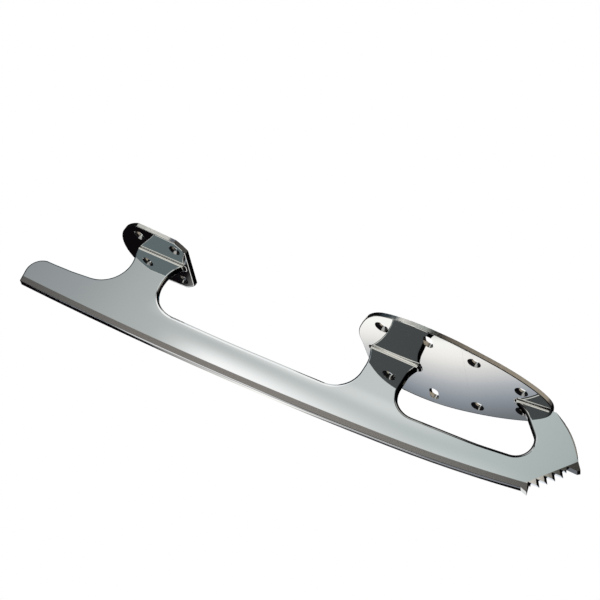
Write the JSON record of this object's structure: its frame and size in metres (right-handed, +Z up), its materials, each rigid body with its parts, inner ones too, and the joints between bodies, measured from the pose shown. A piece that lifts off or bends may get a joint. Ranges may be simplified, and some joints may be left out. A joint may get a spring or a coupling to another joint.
{
  "type": "figure skate blade",
  "caption": "Chromed steel figure skate blade with a D-shaped heel plate, a long sole plate, an open window under the ball of the foot and a curved row of toe picks.",
  "frame": {"origin": "centre of the heel plate's bolt rectangle, on the plate's top face where the boot heel rests", "axes": "+X along the blade to the toe, +Z up into the boot, -Y the outer side of the foot; y=0 is the middle of the runner's thickness"},
  "size_m": [0.3185, 0.0692, 0.0589],
  "materials": {
    "runner_chrome": "mirror chrome, with a ground band along the edge",
    "heel_plate_chrome": "mirror chrome",
    "sole_plate_chrome": "mirror chrome",
    "heel_braze_metal": "chromed braze fillet",
    "sole_rear_braze_metal": "chromed braze fillet",
    "sole_front_braze_metal": "chromed braze fillet"
  },
  "bodies": {
    "root": {"runner": "runner_chrome", "heel_plate": "heel_plate_chrome", "sole_plate": "sole_plate_chrome", "heel_braze": "heel_braze_metal", "sole_rear_braze": "sole_rear_braze_metal", "sole_front_braze": "sole_front_braze_metal"}
  },
  "joints": []
}
